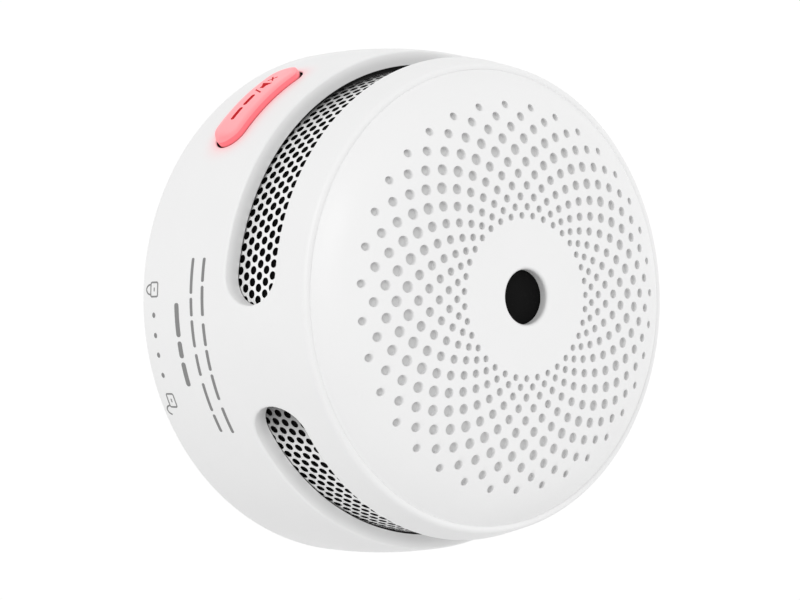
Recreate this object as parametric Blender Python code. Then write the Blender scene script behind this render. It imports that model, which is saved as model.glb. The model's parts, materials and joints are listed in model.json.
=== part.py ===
"""A round optical smoke alarm with its twist-lock wall bracket.

Everything is drawn lying on its back: the axis of the drum is Z, the wall plane is z = 0 and the face
looks along +Z. The empty called wall_frame then stands the object up against a wall, so that in the
world the face looks along -Y and +Z is up. Sizes are millimetres and become metres in the meshes.
"""

import math

import bmesh
import bpy
from mathutils import Matrix, Vector

MM = 0.001
GAP = 0.3  # between pieces that touch on the real object

# The drum: radius at the wall, and how it narrows with the height above the wall
BACK_RADIUS = 51.0
WALL_TAPER = 0.0362
WALL_CURVE = 0.00379
BACK_LIFT = 0.3
SHELL_WALL = 1.8
RIM_RADIUS = 42.32
RIM_TOP = 42.18
LARGE_STEPS = 48
MEDIUM_STEPS = 32
SMALL_STEPS = 12

# The domed face
FACE_TOP = 49.35
FACE_RADIUS = 41.6
FACE_DROP = ((2, -0.8621), (4, 6.1186), (12, 2.2035))
COVER_THICK = 2.2
SOUND_HOLE_RADIUS = 4.95
LEDGE_TOP = 39.5
LEDGE_THICK = 1.4
LEDGE_INNER = 39.9

# Three smoke inlets with one perforated band behind them
INLETS = 3
INLET_ARC = 97.8
INLET_FIRST = 83.7
INLET_LOW = 24.45
INLET_HIGH = 35.75
BAND_RADIUS = 44.7
BAND_TAPER = 0.1
BAND_THICK = 0.5
BAND_LOW = 24.0
BAND_HIGH = 36.1

# The test button in the side wall
BUTTON_ANGLE = 132.8
BUTTON_ARC = 26.2
BUTTON_LOW = 9.45
BUTTON_HIGH = 17.1
BUTTON_PROUD = 1.25
BUTTON_TRAVEL = 0.8
FLANGE_EXTRA = 0.8
FLANGE_THICK = 0.9

# The side-press switch behind the button
PLUNGER_HEIGHT = 14.2
PLUNGER_TIP = 42.4
PLUNGER_RADIUS = 1.7
SWITCH_FACE = 40.6
SWITCH_SIZE = (3.8, 6.4)
SWITCH_LOW = 11.0

# The activation switch behind the rear cover
KNOB_TRAVEL = 3.0
KNOB_SIZE = (3.2, 2.8)
KNOB_ROW = 16.0

# Inner decks, heights above the wall
BOARD_LOW = 20.2
BOARD_THICK = 1.6
BOARD_RADIUS = 40.3
DECK_LOW = 22.2
DECK_THICK = 1.5
DECK_HOLE = 25.6
COVER_LOW = 2.6
COVER_SHEET = 1.7

BOARD_SCREW_FIRST = 42.6
BOARD_SCREW_RADIUS = 36.0
LEAD_ANGLES = (20.0, 32.0)
LEAD_RADIUS = 30.0
WIRE_RADIUS = 0.6

# The optical chamber and the sounder, heights above the wall
CHAMBER_RADIUS = 24.0
CHAMBER_CAP = (34.4, 35.8)
VANES = 16
HORN_RADIUS = 15.5
HORN_LOW = 38.9
HORN_TOP = 46.0
HORN_MOUTH = 4.4
HORN_BASE_LOW = 36.4

# The bayonet
PLATE_RADIUS = 48.2
PLATE_THICK = 2.0
HOOKS = 3
HOOK_FIRST = 12.6
HOOK_HALF_ARC = 10.0
HOOK_POST = (41.0, 42.1)
HOOK_REACH = 44.9
HOOK_LOW = 3.7
HOOK_HIGH = 4.9
LUG_LOW = 2.3
LUG_HIGH = 3.4
LUG_INNER = 42.4
CHANNEL_INNER = 39.6
CHANNEL_FLOOR = HOOK_HIGH + 0.5
CHANNEL_SHEET = 1.4
SKIRT_INNER = 45.5
SKIRT_OUTER = 47.2

# Fasteners. The wall screws' slots: pitch circle radius, half width, half the arc they run along
SCREW_SLOT = (30.0, 2.0, 9.0)
BOSS_FIRST = 72.6
BOSS_RADIUS = 3.0
BOSS_CIRCLE = 44.2
CASE_SCREW_CIRCLE = 42.8

# The cell
CELL_RADIUS = 7.25
CELL_LENGTH = 50.5
CELL_CENTRE = (0.0, -20.0, 12.35)


def clear_scene():
    for thing in list(bpy.data.objects):
        bpy.data.objects.remove(thing)


def wall_radius(height):
    return BACK_RADIUS - WALL_TAPER * height - WALL_CURVE * height**2


def band_radius(height):
    return BAND_RADIUS - BAND_TAPER * (height - INLET_LOW)


def face_height(radius):
    share = radius / FACE_RADIUS
    return FACE_TOP - sum(weight * share**power for power, weight in FACE_DROP)


def polar(radius, degrees, height=0.0):
    turn = math.radians(degrees)
    return Vector((radius * math.cos(turn), radius * math.sin(turn), height))


def material(name, colour, roughness, metallic=0.0, see_through=0.0):
    made = bpy.data.materials.get(name)
    if made:
        return made
    made = bpy.data.materials.new(name)
    made.use_nodes = True
    shader = made.node_tree.nodes["Principled BSDF"]
    shader.inputs["Base Color"].default_value = (*colour, 1.0)
    shader.inputs["Roughness"].default_value = roughness
    shader.inputs["Metallic"].default_value = metallic
    shader.inputs["Transmission Weight"].default_value = see_through
    return made


def white_plastic():
    return material("white_plastic", (0.86, 0.87, 0.88), 0.45)


def black_plastic():
    return material("black_plastic", (0.02, 0.02, 0.02), 0.4)


def grey_plastic():
    return material("grey_plastic", (0.3, 0.31, 0.32), 0.5)


def bright_steel():
    return material("bright_steel", (0.75, 0.75, 0.76), 0.25, 1.0)


def lit_red():
    return material("lit_red", (1.0, 0.22, 0.26), 0.3, see_through=0.3)


def fibreglass():
    return material("fibreglass", (0.03, 0.22, 0.10), 0.5)


def clear_resin():
    return material("clear_resin", (0.85, 0.85, 0.9), 0.1, see_through=0.8)


def brass():
    return material("brass", (0.78, 0.6, 0.3), 0.3, 1.0)


def ceramic():
    return material("ceramic", (0.85, 0.84, 0.8), 0.5)


def dark_foam():
    return material("dark_foam", (0.08, 0.08, 0.08), 0.9)


def cell_sleeve():
    return material("cell_sleeve", (0.08, 0.2, 0.5), 0.35)


def red_wire():
    return material("red_wire", (0.6, 0.03, 0.03), 0.45)


def black_wire():
    return material("black_wire", (0.03, 0.03, 0.03), 0.45)


def copper():
    return material("copper", (0.75, 0.35, 0.2), 0.35, 1.0)


def empty(name, parent=None):
    made = bpy.data.objects.new(name, None)
    bpy.context.scene.collection.objects.link(made)
    made.parent = parent
    return made


def to_object(name, mesh_data, look, parent, cutter=False):
    """A named object made from a bmesh in millimetres, in metres."""
    bmesh.ops.scale(mesh_data, vec=(MM, MM, MM), verts=mesh_data.verts)
    bmesh.ops.recalc_face_normals(mesh_data, faces=mesh_data.faces)
    mesh = bpy.data.meshes.new(name)
    mesh_data.to_mesh(mesh)
    mesh_data.free()
    mesh.shade_smooth()
    mesh.set_sharp_from_angle(angle=math.radians(35))
    made = bpy.data.objects.new(name, mesh)
    bpy.context.scene.collection.objects.link(made)
    made.parent = parent
    if cutter:
        made.hide_render = True
        made.display_type = "WIRE"
    else:
        mesh.materials.append(look)
    return made


def turned_mesh(profile, steps, closed):
    """The profile, (radius, height) points in millimetres, spun round Z."""
    data = bmesh.new()
    points = [data.verts.new((radius, 0, height)) for radius, height in profile]
    pairs = list(zip(points, points[1:]))
    if closed:
        pairs.append((points[-1], points[0]))
    edges = [data.edges.new(pair) for pair in pairs]
    bmesh.ops.spin(
        data,
        geom=points + edges,
        cent=(0, 0, 0),
        axis=(0, 0, 1),
        angle=math.tau,
        steps=steps,
        use_merge=True,
    )
    bmesh.ops.remove_doubles(data, verts=data.verts, dist=1e-5)
    return data


def turned(name, profile, look, parent, steps=LARGE_STEPS, cutter=False):
    """A turned solid. A profile that starts and ends on the axis is open, and any other is a closed loop."""
    on_axis = profile[0][0] == 0 and profile[-1][0] == 0
    return to_object(name, turned_mesh(profile, steps, not on_axis), look, parent, cutter)


def rod(name, radius, start, end, look, parent, steps=SMALL_STEPS, cutter=False):
    """A round bar between two points in millimetres."""
    data = bmesh.new()
    start = Vector(start)
    along = Vector(end) - start
    bmesh.ops.create_cone(
        data,
        cap_ends=True,
        segments=steps,
        radius1=radius,
        radius2=radius,
        depth=along.length,
    )
    turn = along.to_track_quat("Z", "Y").to_matrix().to_4x4()
    place = Matrix.Translation(start + along / 2) @ turn
    bmesh.ops.transform(data, matrix=place, verts=data.verts)
    return to_object(name, data, look, parent, cutter)


def block(name, size, centre, look, parent, degrees=0.0, cutter=False):
    """A box of a size and centre in millimetres, turned about Z through its own centre."""
    data = bmesh.new()
    bmesh.ops.create_cube(data, size=1.0)
    bmesh.ops.scale(data, vec=size, verts=data.verts)
    place = Matrix.Translation(centre) @ Matrix.Rotation(math.radians(degrees), 4, "Z")
    bmesh.ops.transform(data, matrix=place, verts=data.verts)
    return to_object(name, data, look, parent, cutter)


def soften(thing, width):
    bevel = thing.modifiers.new("Bevel", "BEVEL")
    bevel.width = width * MM
    bevel.segments = 2
    bevel.limit_method = "ANGLE"
    return thing


def arc_block(name, start, end, inner, outer, low, high, look, parent, steps=6, cutter=False):
    """A piece of a ring between two angles, two radii and two heights."""
    data = bmesh.new()
    rings = []
    for step in range(steps + 1):
        angle = start + (end - start) * step / steps
        corners = ((inner, low), (outer, low), (outer, high), (inner, high))
        rings.append([data.verts.new(polar(radius, angle, z)) for radius, z in corners])
    for first, second in zip(rings, rings[1:]):
        for i in range(4):
            j = (i + 1) % 4
            data.faces.new((first[i], first[j], second[j], second[i]))
    data.faces.new(rings[0])
    data.faces.new(rings[-1])
    return to_object(name, data, look, parent, cutter)


def curved_stadium(name, span, heights, inner, outer, look, parent, steps=4, cutter=False):
    """A block with round ends, bent round the drum. inner and outer give its radii at a height."""
    low, high = heights
    middle = (low + high) / 2
    half = (high - low) / 2
    cap_arc = math.degrees(half / outer(middle))
    start, end = span
    cap_steps = 5
    cap = [1 - math.cos(math.pi / 2 * step / cap_steps) for step in range(1, cap_steps + 1)]
    sections = [(start + cap_arc * share, half * math.sqrt(1 - (1 - share) ** 2)) for share in cap]
    straight = end - start - 2 * cap_arc
    sections += [(start + cap_arc + straight * step / steps, half) for step in range(1, steps)]
    sections += [(start + end - angle, rise) for angle, rise in reversed(sections[:cap_steps])]
    data = bmesh.new()

    def tip(angle):
        return [data.verts.new(polar(radius(middle), angle, middle)) for radius in (inner, outer)]

    rings = []
    for angle, rise in sections:
        corners = (
            (inner, middle - rise),
            (outer, middle - rise),
            (outer, middle + rise),
            (inner, middle + rise),
        )
        rings.append([data.verts.new(polar(radius(z), angle, z)) for radius, z in corners])
    for first, second in zip(rings, rings[1:]):
        for i in range(4):
            j = (i + 1) % 4
            data.faces.new((first[i], first[j], second[j], second[i]))
    for ring, angle in ((rings[0], start), (rings[-1], end)):
        inside, outside = tip(angle)
        data.faces.new((ring[0], ring[1], outside, inside))
        data.faces.new((ring[2], ring[3], inside, outside))
        data.faces.new((ring[1], ring[2], outside))
        data.faces.new((ring[3], ring[0], inside))
    return to_object(name, data, look, parent, cutter)


def wire(name, points, look, parent):
    """A round lead through points in millimetres, smoothed into one even curve."""
    anchors = [Vector(point) * MM for point in points]
    ends = [2 * anchors[0] - anchors[1]] + anchors + [2 * anchors[-1] - anchors[-2]]
    path = []
    for before, start, end, after in zip(ends, ends[1:], ends[2:], ends[3:]):
        for step in range(4):
            t = step / 4
            path.append(
                0.5
                * (
                    2 * start
                    + (end - before) * t
                    + (2 * before - 5 * start + 4 * end - after) * t**2
                    + (3 * start - before - 3 * end + after) * t**3
                )
            )
    path.append(anchors[-1])
    curve = bpy.data.curves.new(name, "CURVE")
    curve.dimensions = "3D"
    curve.bevel_depth = WIRE_RADIUS * MM
    curve.bevel_resolution = 1
    curve.use_fill_caps = True
    curve.materials.append(look)
    spline = curve.splines.new("POLY")
    spline.points.add(len(path) - 1)
    for place, point in zip(spline.points, path):
        place.co = (*point, 1.0)
    made = bpy.data.objects.new(name, curve)
    bpy.context.scene.collection.objects.link(made)
    made.parent = parent
    return made


def boolean(thing, other, operation):
    modifier = thing.modifiers.new(other.name, "BOOLEAN")
    modifier.operation = operation
    modifier.object = other
    modifier.solver = "EXACT"


def cut(thing, *cutters):
    for cutter in cutters:
        boolean(thing, cutter, "DIFFERENCE")


def join(thing, *others):
    for other in others:
        boolean(thing, other, "UNION")


def around(first, count):
    return [first + 360 * i / count for i in range(count)]


def inlet_spans():
    return [(start, start + INLET_ARC) for start in around(INLET_FIRST, INLETS)]


def mounting_bracket(parent):
    """Wall plate with two screw slots and three hooks, each closed at one end as the locking stop."""
    edge = 0.5
    profile = [
        (0, 0),
        (PLATE_RADIUS, 0),
        (PLATE_RADIUS, PLATE_THICK - edge),
        (PLATE_RADIUS - edge, PLATE_THICK),
        (0, PLATE_THICK),
    ]
    plate = turned("mounting_bracket", profile, white_plastic(), parent)
    sink = 0.6
    for i, angle in enumerate(around(HOOK_FIRST, HOOKS)):
        start = angle - HOOK_HALF_ARC
        end = angle + HOOK_HALF_ARC
        stop = start - 2.5
        post_in, post_out = HOOK_POST
        root = PLATE_THICK - sink
        post = arc_block(
            f"post_{i}", stop, end, post_in, post_out, root, HOOK_HIGH, None, parent, cutter=True
        )
        lip = arc_block(
            f"lip_{i}",
            stop + 0.5,
            end - 0.2,
            post_out - sink,
            HOOK_REACH,
            HOOK_LOW,
            HOOK_HIGH - 0.1,
            None,
            parent,
            cutter=True,
        )
        end_wall = arc_block(
            f"stop_{i}",
            stop + 0.2,
            start - 0.3,
            post_out - sink,
            HOOK_REACH - 0.2,
            root,
            HOOK_LOW + sink,
            None,
            parent,
            steps=2,
            cutter=True,
        )
        join(plate, post, lip, end_wall)
    for side in (0, 180):
        cut(plate, screw_slot(f"screw_slot_{side}", side, parent))
    return plate


def screw_slot(name, angle, parent):
    """Cutter for a round-ended slot in the plate that follows the screws' pitch circle."""
    radius, half_width, half_arc = SCREW_SLOT
    data = bmesh.new()
    outline = []
    ends = 6
    for step in range(-ends, ends + 1):
        outline.append(polar(radius + half_width, angle + half_arc * step / ends))
    tip = polar(radius, angle + half_arc)
    for step in range(1, ends):
        outline.append(tip + polar(half_width, angle + half_arc + 180 * step / ends))
    for step in range(-ends, ends + 1):
        outline.append(polar(radius - half_width, angle - half_arc * step / ends))
    tip = polar(radius, angle - half_arc)
    for step in range(1, ends):
        outline.append(tip + polar(half_width, angle - half_arc + 180 + 180 * step / ends))
    low = [data.verts.new(point + Vector((0, 0, -1))) for point in outline]
    face = data.faces.new(low)
    grown = bmesh.ops.extrude_face_region(data, geom=[face])
    top = [item for item in grown["geom"] if isinstance(item, bmesh.types.BMVert)]
    bmesh.ops.translate(data, vec=(0, 0, PLATE_THICK + 2), verts=top)
    return to_object(name, data, None, parent, cutter=True)


def rear_cover(parent):
    """Stepped disc: a flat middle, a ring channel for the hooks, and a skirt with three inward lugs."""
    channel_floor = CHANNEL_FLOOR
    channel_top = channel_floor + CHANNEL_SHEET
    middle_top = COVER_LOW + COVER_SHEET
    profile = [
        (0, COVER_LOW),
        (CHANNEL_INNER, COVER_LOW),
        (CHANNEL_INNER, channel_floor),
        (SKIRT_INNER, channel_floor),
        (SKIRT_INNER, LUG_LOW),
        (SKIRT_OUTER, LUG_LOW),
        (SKIRT_OUTER, channel_top),
        (CHANNEL_INNER - COVER_SHEET, channel_top),
        (CHANNEL_INNER - COVER_SHEET, middle_top),
        (0, middle_top),
    ]
    cover = turned("rear_cover", profile, white_plastic(), parent)
    for i, angle in enumerate(around(HOOK_FIRST, HOOKS)):
        lug = arc_block(
            f"lug_{i}",
            angle - HOOK_HALF_ARC + 0.4,
            angle + HOOK_HALF_ARC - 0.4,
            LUG_INNER,
            SKIRT_INNER + 0.8,
            LUG_LOW + 0.1,
            LUG_HIGH,
            None,
            parent,
            steps=4,
            cutter=True,
        )
        join(cover, lug)
    for i, angle in enumerate(around(BOSS_FIRST, HOOKS)):
        place = polar(CASE_SCREW_CIRCLE, angle)
        hole = rod(
            f"cover_hole_{i}",
            1.5,
            place + Vector((0, 0, channel_floor - 1)),
            place + Vector((0, 0, channel_top + 1)),
            None,
            parent,
            cutter=True,
        )
        cut(cover, hole)
    knob_length, knob_width = KNOB_SIZE
    opening = (knob_length + KNOB_TRAVEL + 2, knob_width + 0.8, 3 * COVER_SHEET)
    window = block("switch_window", opening, (0, KNOB_ROW, COVER_LOW), None, parent, cutter=True)
    cut(cover, window)
    return cover


def outer_shell(parent):
    """The drum wall, with the ledge for the face, three inlets, the button opening and screw bosses."""
    outer = [(wall_radius(z), z) for z in (3, 9, 15, 21, 27, 33, 38)]
    rim = [
        (wall_radius(41.2), 41.2),
        (RIM_RADIUS + 0.42, RIM_TOP - 0.2),
        (RIM_RADIUS, RIM_TOP),
        (FACE_RADIUS + 0.2, RIM_TOP - 0.25),
    ]
    ledge = [
        (FACE_RADIUS + 0.15, LEDGE_TOP),
        (LEDGE_INNER, LEDGE_TOP),
        (LEDGE_INNER, LEDGE_TOP - LEDGE_THICK),
        (42.7, LEDGE_TOP - LEDGE_THICK),
        (43.0, BAND_HIGH + GAP),
    ]
    seat = [
        (band_radius(BAND_HIGH) + GAP, BAND_HIGH + GAP),
        (band_radius(BAND_LOW) + GAP, BAND_LOW - 0.1),
    ]
    inside = [(wall_radius(z) - SHELL_WALL, z) for z in (BAND_LOW - 0.1, 16, 8)]
    back = [
        (wall_radius(BACK_LIFT) - SHELL_WALL, BACK_LIFT),
        (BACK_RADIUS - 0.5, BACK_LIFT),
        (BACK_RADIUS, BACK_LIFT + 0.45),
    ]
    profile = outer + rim + ledge + seat + inside + back
    shell = turned("outer_shell", profile, white_plastic(), parent)
    for i, span in enumerate(inlet_spans()):
        inlet = curved_stadium(
            f"inlet_{i}",
            span,
            (INLET_LOW, INLET_HIGH),
            lambda z: BAND_RADIUS - 4,
            lambda z: BACK_RADIUS + 3,
            None,
            parent,
            cutter=True,
        )
        cut(shell, inlet)
    half = BUTTON_ARC / 2
    opening = curved_stadium(
        "button_opening",
        (BUTTON_ANGLE - half, BUTTON_ANGLE + half),
        (BUTTON_LOW, BUTTON_HIGH),
        lambda z: BAND_RADIUS,
        lambda z: BACK_RADIUS + 3,
        None,
        parent,
        cutter=True,
    )
    cut(shell, opening)
    for i, angle in enumerate(around(BOSS_FIRST, 3)):
        place = polar(BOSS_CIRCLE, angle)
        boss = rod(
            f"boss_{i}",
            BOSS_RADIUS,
            place + Vector((0, 0, 7.6)),
            place + Vector((0, 0, 19.6)),
            None,
            parent,
            cutter=True,
        )
        join(shell, boss)
        place = polar(CASE_SCREW_CIRCLE, angle)
        pilot = rod(
            f"pilot_{i}",
            1.4,
            place + Vector((0, 0, 6)),
            place + Vector((0, 0, 17)),
            None,
            parent,
            cutter=True,
        )
        cut(shell, pilot)
    return shell


def front_cover(parent):
    """The domed face, with the sound hole in its middle and a foot ring that stands on the shell's ledge."""
    edge = FACE_RADIUS - 0.15
    foot = LEDGE_TOP + GAP
    top_radii = (SOUND_HOLE_RADIUS + 0.2, 15, 21, 26, 30.5, 34, 37, 39.3, 40.7)
    top = [(r, face_height(r)) for r in top_radii]
    under_radii = (37.4, 33.5, 29, 22, SOUND_HOLE_RADIUS)
    under = [(r, face_height(r) - COVER_THICK) for r in under_radii]
    profile = [(SOUND_HOLE_RADIUS, face_height(SOUND_HOLE_RADIUS) - 0.2)]
    profile += top
    profile += [(edge, face_height(edge)), (edge, foot), (LEDGE_INNER + 0.1, foot)]
    profile += under
    return turned("front_cover", profile, white_plastic(), parent)


def inlet_grille(parent):
    """The band of perforated metal, drawn plain here, standing on the deck inside the shell."""
    profile = [
        (band_radius(BAND_LOW), BAND_LOW),
        (band_radius(BAND_HIGH), BAND_HIGH),
        (band_radius(BAND_HIGH) - BAND_THICK, BAND_HIGH),
        (band_radius(BAND_LOW) - BAND_THICK, BAND_LOW),
    ]
    return turned("inlet_grille", profile, bright_steel(), parent)


def test_button(parent):
    """Button, retaining flange and stem in one moulding. Its empty sits on the line that it slides along."""
    half = BUTTON_ARC / 2
    gap_arc = 0.36
    sheet = SHELL_WALL + GAP

    def flange_out(z):
        return wall_radius(z) - sheet

    def flange_in(z):
        return wall_radius(z) - sheet - FLANGE_THICK

    cap = curved_stadium(
        "test_button",
        (BUTTON_ANGLE - half + gap_arc, BUTTON_ANGLE + half - gap_arc),
        (BUTTON_LOW + GAP, BUTTON_HIGH - GAP),
        lambda z: flange_in(z) + 0.3,
        lambda z: wall_radius(z) + BUTTON_PROUD,
        lit_red(),
        parent,
        steps=8,
    )
    more = math.degrees(FLANGE_EXTRA / BACK_RADIUS)
    flange = curved_stadium(
        "button_flange",
        (BUTTON_ANGLE - half - more, BUTTON_ANGLE + half + more),
        (BUTTON_LOW - FLANGE_EXTRA, BUTTON_HIGH + FLANGE_EXTRA),
        flange_in,
        flange_out,
        None,
        parent,
        steps=8,
        cutter=True,
    )
    stem = rod(
        "button_stem",
        2.2,
        polar(PLUNGER_TIP + GAP, BUTTON_ANGLE, PLUNGER_HEIGHT),
        polar(flange_in(PLUNGER_HEIGHT) + 0.5, BUTTON_ANGLE, PLUNGER_HEIGHT),
        None,
        parent,
        cutter=True,
    )
    join(cap, flange, stem)
    return cap


def test_switch(head, plunger_frame):
    """Side-press switch on the back of the board, with a plunger that the button's stem pushes."""
    depth, width = SWITCH_SIZE
    body_high = BOARD_LOW - GAP
    body = block(
        "test_switch_body",
        (depth, width, body_high - SWITCH_LOW),
        polar(SWITCH_FACE - depth / 2, BUTTON_ANGLE, (body_high + SWITCH_LOW) / 2),
        black_plastic(),
        head,
        degrees=BUTTON_ANGLE,
    )
    sunk = 1.2
    bore_end = SWITCH_FACE - sunk - BUTTON_TRAVEL - GAP
    bore = rod(
        "plunger_bore",
        PLUNGER_RADIUS + GAP + 0.1,
        polar(bore_end, BUTTON_ANGLE, PLUNGER_HEIGHT),
        polar(SWITCH_FACE + 1, BUTTON_ANGLE, PLUNGER_HEIGHT),
        None,
        head,
        cutter=True,
    )
    cut(body, bore)
    rod(
        "test_switch_plunger",
        PLUNGER_RADIUS,
        polar(SWITCH_FACE - sunk, BUTTON_ANGLE, PLUNGER_HEIGHT),
        polar(PLUNGER_TIP, BUTTON_ANGLE, PLUNGER_HEIGHT),
        grey_plastic(),
        plunger_frame,
    )


def case_screws(parent):
    """Pan-head screws from the hook channel through the rear cover into the shell's bosses."""
    floor = CHANNEL_FLOOR
    for i, angle in enumerate(around(BOSS_FIRST, 3)):
        place = polar(CASE_SCREW_CIRCLE, angle)
        profile = [
            (0, floor - 1.9),
            (1.4, floor - 1.8),
            (2.1, floor - 1.3),
            (2.1, floor - GAP),
            (1.05, floor - GAP),
            (1.05, 15.0),
            (0.4, 16.4),
            (0, 16.4),
        ]
        screw = turned(f"case_screw_{i + 1}", profile, bright_steel(), parent, steps=SMALL_STEPS)
        screw.location = place * MM


def chassis_deck(parent):
    """Ring between the electronics and the smoke space; the grille stands on it."""
    top = DECK_LOW + DECK_THICK
    profile = [
        (DECK_HOLE, DECK_LOW),
        (45.6, DECK_LOW),
        (45.6, top),
        (DECK_HOLE, top),
    ]
    deck = turned("chassis_deck", profile, black_plastic(), parent)
    for i, angle in enumerate(LEAD_ANGLES):
        place = polar(LEAD_RADIUS, angle)
        hole = rod(
            f"lead_hole_{i}",
            1.6,
            place + Vector((0, 0, DECK_LOW - 1)),
            place + Vector((0, 0, top + 1)),
            None,
            parent,
            cutter=True,
        )
        cut(deck, hole)
    for i, angle in enumerate(around(BOARD_SCREW_FIRST, 3)):
        place = polar(BOARD_SCREW_RADIUS, angle)
        socket = rod(
            f"board_pilot_{i}",
            1.25,
            place + Vector((0, 0, DECK_LOW - 1)),
            place + Vector((0, 0, top + 1)),
            None,
            parent,
            cutter=True,
        )
        cut(deck, socket)
    return deck


def circuit_board(parent):
    """Round board below the deck, held to it by three screws."""
    top = BOARD_LOW + BOARD_THICK
    profile = [(0, BOARD_LOW), (BOARD_RADIUS, BOARD_LOW), (BOARD_RADIUS, top), (0, top)]
    board = turned("circuit_board", profile, fibreglass(), parent)
    for i, angle in enumerate(around(BOARD_SCREW_FIRST, 3)):
        place = polar(BOARD_SCREW_RADIUS, angle)
        hole = rod(
            f"board_hole_{i}",
            1.4,
            place + Vector((0, 0, BOARD_LOW - 1)),
            place + Vector((0, 0, top + 1)),
            None,
            parent,
            cutter=True,
        )
        cut(board, hole)
        profile = [
            (0, BOARD_LOW - 1.6),
            (1.4, BOARD_LOW - 1.6),
            (1.9, BOARD_LOW - 1.2),
            (1.9, BOARD_LOW - GAP),
            (0.9, BOARD_LOW - GAP),
            (0.9, DECK_LOW + DECK_THICK - 0.1),
            (0, DECK_LOW + DECK_THICK - 0.1),
        ]
        screw = turned(f"board_screw_{i + 1}", profile, bright_steel(), parent, steps=SMALL_STEPS)
        screw.location = place * MM
    return board


def board_parts(parent):
    """The larger parts on the back of the board."""
    face = BOARD_LOW - GAP
    soften(
        block("microcontroller", (10, 7.5, 1.7), (14, 10, face - 0.85), black_plastic(), parent, 20),
        0.15,
    )
    soften(
        block("battery_connector", (8, 5.5, 6), (-31, 1, face - 3), ceramic(), parent),
        0.3,
    )
    capacitor = [
        (0, face - 8),
        (2.7, face - 8),
        (3.15, face - 7.5),
        (3.15, face),
        (0, face),
    ]
    turned("storage_capacitor", capacitor, bright_steel(), parent, steps=SMALL_STEPS).location = (
        polar(27, 60) * MM
    )
    coil = [
        (0, face - 9),
        (4.2, face - 9),
        (4.2, face - 7.8),
        (3.3, face - 7.2),
        (3.3, face - 1.8),
        (4.2, face - 1.2),
        (4.2, face),
        (0, face),
    ]
    turned("horn_coil", coil, copper(), parent, steps=SMALL_STEPS).location = polar(31, 12) * MM
    lamp = [
        (0, face - 5.2),
        (0.8, face - 5.0),
        (1.35, face - 4.4),
        (1.5, face - 3.7),
        (1.5, face - 0.8),
        (1.9, face - 0.8),
        (1.9, face),
        (0, face),
    ]
    turned("status_led", lamp, clear_resin(), parent, steps=SMALL_STEPS).location = polar(37.2, 119) * MM


def battery_and_leads(parent):
    """Sealed cell lying across the back, with its two leads to the connector."""
    x, y, z = CELL_CENTRE
    half = CELL_LENGTH / 2
    profile = [
        (0, -half),
        (5.8, -half),
        (CELL_RADIUS, -half + 0.7),
        (CELL_RADIUS, half - 0.9),
        (6.6, half - 0.4),
        (2.8, half - 0.4),
        (2.8, half),
        (0, half),
    ]
    cell = turned("battery", profile, cell_sleeve(), parent, steps=MEDIUM_STEPS)
    cell.rotation_euler = (0, math.pi / 2, 0)
    cell.location = Vector(CELL_CENTRE) * MM
    plug = Vector((-31, 1, 14.5))
    wire(
        "battery_lead_black",
        [
            (x - half - 0.9 - GAP, y, z),
            (x - half - 3.2, y + 3, z),
            (-31.5, -10, 14),
            plug + Vector((-1.2, -3.6, 0)),
        ],
        black_wire(),
        parent,
    )
    wire(
        "battery_lead_red",
        [
            (x + half + 0.9, y, z),
            (x + half + 2.6, y + 5, z),
            (x + half - 4, y + 11, z),
            (0, -7, z),
            (-20, -7, 14),
            plug + Vector((1.4, -3.6, 0)),
        ],
        red_wire(),
        parent,
    )


def power_switch(head, knob_frame):
    """Recessed slide switch behind the window of the rear cover. Its knob slides along X."""
    low = COVER_LOW + COVER_SHEET + GAP
    high = low + 3.6
    centre = (0, KNOB_ROW, (low + high) / 2)
    body = block("power_switch_body", (14, 6.5, high - low), centre, black_plastic(), head)
    soften(body, 0.3)
    knob_low = COVER_LOW + 0.1
    knob_high = low - GAP
    block(
        "power_switch_knob",
        (*KNOB_SIZE, knob_high - knob_low),
        (-KNOB_TRAVEL / 2, KNOB_ROW, (knob_low + knob_high) / 2),
        grey_plastic(),
        knob_frame,
    )


def smoke_chamber(parent):
    """Dark base with the emitter and the sensor, and a cap whose slanted vanes keep stray light out."""
    base_low = BOARD_LOW + BOARD_THICK + GAP
    floor = base_low + 1.2
    brim = base_low + 2.4
    base = [
        (0, base_low),
        (CHAMBER_RADIUS, base_low),
        (CHAMBER_RADIUS, brim),
        (CHAMBER_RADIUS - 1.4, brim),
        (CHAMBER_RADIUS - 1.4, floor),
        (0, floor),
    ]
    turned("chamber_base", base, black_plastic(), parent, steps=MEDIUM_STEPS)
    cap_low, cap_high = CHAMBER_CAP
    profile = [
        (0, cap_low),
        (CHAMBER_RADIUS, cap_low),
        (CHAMBER_RADIUS, cap_high),
        (0, cap_high),
    ]
    cap = turned("chamber_cover", profile, black_plastic(), parent, steps=MEDIUM_STEPS)
    vane_low = brim + GAP
    vane_high = cap_low + 0.6
    vane_turn = 48
    for i, angle in enumerate(around(0, VANES)):
        size = (5.4, 0.9, vane_high - vane_low)
        centre = polar(CHAMBER_RADIUS - 3.6, angle, (vane_low + vane_high) / 2)
        vane = block(f"vane_{i}", size, centre, None, parent, angle + vane_turn, cutter=True)
        join(cap, vane)
    lens = [
        (0, 4.3),
        (1.2, 4.0),
        (2.1, 3.2),
        (2.5, 2.0),
        (2.5, -2.6),
        (2.9, -2.6),
        (2.9, -3.6),
        (0, -3.6),
    ]
    eyes = (("ir_emitter", 200.0, clear_resin()), ("photodiode", 330.0, black_plastic()))
    for name, angle, look in eyes:
        part = turned(name, lens, look, parent, steps=SMALL_STEPS)
        part.rotation_euler = (0, math.pi / 2, math.radians(angle + 180))
        part.location = polar(11.5, angle, floor + GAP + 3.0) * MM


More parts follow.
